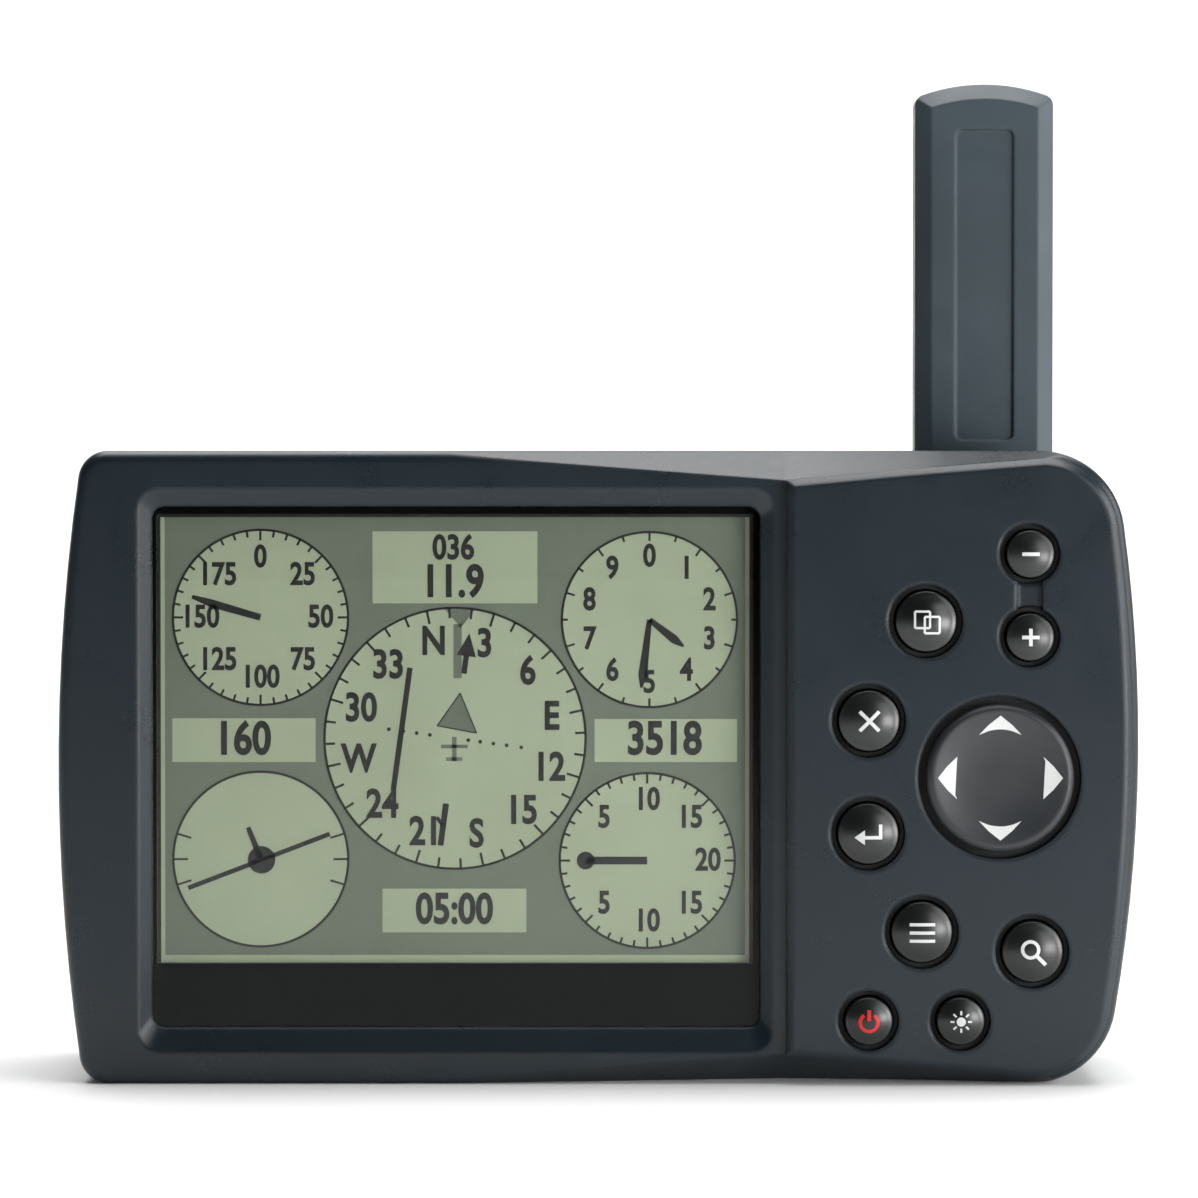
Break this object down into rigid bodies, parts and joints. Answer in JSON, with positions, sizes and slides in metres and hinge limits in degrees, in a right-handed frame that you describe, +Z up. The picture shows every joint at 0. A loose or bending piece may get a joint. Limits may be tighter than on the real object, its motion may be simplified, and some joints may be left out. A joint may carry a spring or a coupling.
{
  "type": "portable aviation gps",
  "caption": "Handheld cockpit navigation receiver with a wide display, round push keys, a rocker pad, a battery bay and a swivelling paddle antenna.",
  "frame": {"origin": "on the flat base, on the centre line of the body, under the middle of its depth", "axes": "+X to the right seen from the front, +Y to the back, +Z up; the display faces -Y"},
  "size_m": [0.145, 0.0591, 0.137],
  "materials": {
    "housing_plastic": "satin moulded",
    "bezel_plastic": "satin moulded",
    "key_plastic": "polished",
    "rocker_plastic": "fine texture",
    "antenna_plastic": "satin moulded",
    "window_clear": "clear polished",
    "mask_black": "printed film",
    "lcd_surface": "grey green display",
    "clear_guide": "clear moulded",
    "white_film": "white film",
    "steel": "bright",
    "screw_steel": "dark zinc",
    "circuit_board": "solder mask",
    "chip_black": "moulded",
    "flex_amber": "film",
    "rubber_black": "soft",
    "silicone_grey": "soft",
    "brass_nickel": "plated",
    "cell_wrap": "shrink wrap",
    "insulator_white": "moulded",
    "card_plastic": "moulded",
    "ceramic_element": "matte"
  },
  "bodies": {
    "housing": {"front_housing": "bezel_plastic", "rear_housing": "housing_plastic", "housing_gasket": "rubber_black", "display_window": "window_clear", "screen_mask": "mask_black", "lcd_glass": "lcd_surface", "backlight_guide": "clear_guide", "backlight_reflector": "white_film", "lcd_frame": "steel", "lcd_flex": "flex_amber", "main_board": "circuit_board", "board_screws": "screw_steel", "shield_can": "steel", "board_chips": "chip_black", "backup_cell": "steel", "beeper": "chip_black", "rf_connector": "brass_nickel", "antenna_coax": "rubber_black", "keypad_board": "circuit_board", "keypad_screws": "screw_steel", "dome_switches": "steel", "key_mat": "silicone_grey", "interboard_connector": "insulator_white", "rocker_carrier": "housing_plastic", "case_screws": "screw_steel", "battery_cells": "cell_wrap", "battery_springs": "steel", "battery_plates": "steel", "card_slot": "chip_black", "antenna_jack": "brass_nickel", "jack_nut": "brass_nickel", "jack_insulator": "insulator_white", "data_socket_shell": "chip_black", "data_socket_pins": "brass_nickel", "data_socket_nut": "brass_nickel"},
    "key_zoom_out": {"key_zoom_out": "key_plastic"},
    "key_zoom_in": {"key_zoom_in": "key_plastic"},
    "key_page": {"key_page": "key_plastic"},
    "key_quit": {"key_quit": "key_plastic"},
    "key_enter": {"key_enter": "key_plastic"},
    "key_menu": {"key_menu": "key_plastic"},
    "key_find": {"key_find": "key_plastic"},
    "key_power": {"key_power": "key_plastic"},
    "key_display": {"key_display": "key_plastic"},
    "rocker_gimbal": {"rocker_ring": "steel"},
    "rocker_pad": {"rocker_disc": "rocker_plastic", "rocker_actuator": "insulator_white"},
    "antenna_swivel_base": {"antenna_elbow": "housing_plastic", "antenna_hinge_pin": "steel"},
    "antenna_collar": {"bayonet_collar": "brass_nickel"},
    "antenna_paddle": {"antenna_knuckle": "housing_plastic", "antenna_front_shell": "antenna_plastic", "antenna_rear_shell": "antenna_plastic", "antenna_element": "ceramic_element"},
    "door": {"battery_door": "housing_plastic", "door_seal": "rubber_black"},
    "latch": {"door_latch": "chip_black"},
    "ring": {"latch_ring": "steel"},
    "card": {"data_card": "card_plastic"}
  },
  "joints": [
    {"name": "key_zoom_out_press", "type": "slide", "parent": "housing", "child": "key_zoom_out", "axis": [0, 1, 0], "range_m": [0, 0.0008], "stiffness_N_per_m": 1500},
    {"name": "key_zoom_in_press", "type": "slide", "parent": "housing", "child": "key_zoom_in", "axis": [0, 1, 0], "range_m": [0, 0.0008], "stiffness_N_per_m": 1500},
    {"name": "key_page_press", "type": "slide", "parent": "housing", "child": "key_page", "axis": [0, 1, 0], "range_m": [0, 0.0008], "stiffness_N_per_m": 1500},
    {"name": "key_quit_press", "type": "slide", "parent": "housing", "child": "key_quit", "axis": [0, 1, 0], "range_m": [0, 0.0008], "stiffness_N_per_m": 1500},
    {"name": "key_enter_press", "type": "slide", "parent": "housing", "child": "key_enter", "axis": [0, 1, 0], "range_m": [0, 0.0008], "stiffness_N_per_m": 1500},
    {"name": "key_menu_press", "type": "slide", "parent": "housing", "child": "key_menu", "axis": [0, 1, 0], "range_m": [0, 0.0008], "stiffness_N_per_m": 1500},
    {"name": "key_find_press", "type": "slide", "parent": "housing", "child": "key_find", "axis": [0, 1, 0], "range_m": [0, 0.0008], "stiffness_N_per_m": 1500},
    {"name": "key_power_press", "type": "slide", "parent": "housing", "child": "key_power", "axis": [0, 1, 0], "range_m": [0, 0.0008], "stiffness_N_per_m": 1500},
    {"name": "key_display_press", "type": "slide", "parent": "housing", "child": "key_display", "axis": [0, 1, 0], "range_m": [0, 0.0008], "stiffness_N_per_m": 1500},
    {"name": "rocker_up_down", "type": "hinge", "parent": "housing", "child": "rocker_gimbal", "pos_m": [0.0537, -0.0199, 0.0413], "axis": [1, 0, 0], "range_deg": [-4, 4], "stiffness_Nm_per_rad": 0.25},
    {"name": "rocker_left_right", "type": "hinge", "parent": "rocker_gimbal", "child": "rocker_pad", "pos_m": [0.0537, -0.0199, 0.0413], "axis": [0, 0, 1], "range_deg": [-4, 4], "stiffness_Nm_per_rad": 0.25},
    {"name": "antenna_swivel", "type": "hinge", "parent": "housing", "child": "antenna_swivel_base", "pos_m": [0.0548, 0.0222, 0.072], "axis": [0, 1, 0], "range_deg": [-90, 90]},
    {"name": "collar_turn", "type": "hinge", "parent": "antenna_swivel_base", "child": "antenna_collar", "pos_m": [0.0548, 0.0156, 0.072], "axis": [0, 1, 0], "range_deg": [0, 60]},
    {"name": "antenna_tilt", "type": "hinge", "parent": "antenna_swivel_base", "child": "antenna_paddle", "pos_m": [0.0548, 0.0283, 0.072], "axis": [-1, 0, 0], "range_deg": [0, 90]},
    {"name": "door_swing", "type": "hinge", "parent": "housing", "child": "door", "pos_m": [-0.0648, 0.021, 0.033], "axis": [0, 0, 1], "range_deg": [0, 40]},
    {"name": "latch_turn", "type": "hinge", "parent": "door", "child": "latch", "pos_m": [0.0484, 0.021, 0.033], "axis": [0, 1, 0], "range_deg": [0, 90]},
    {"name": "ring_flip", "type": "hinge", "parent": "latch", "child": "ring", "pos_m": [0.0504, 0.02209, 0.033], "axis": [0, 0, -1], "range_deg": [0, 110]},
    {"name": "card_slide", "type": "slide", "parent": "housing", "child": "card", "axis": [0, 1, 0], "range_m": [0, 0.005]}
  ]
}
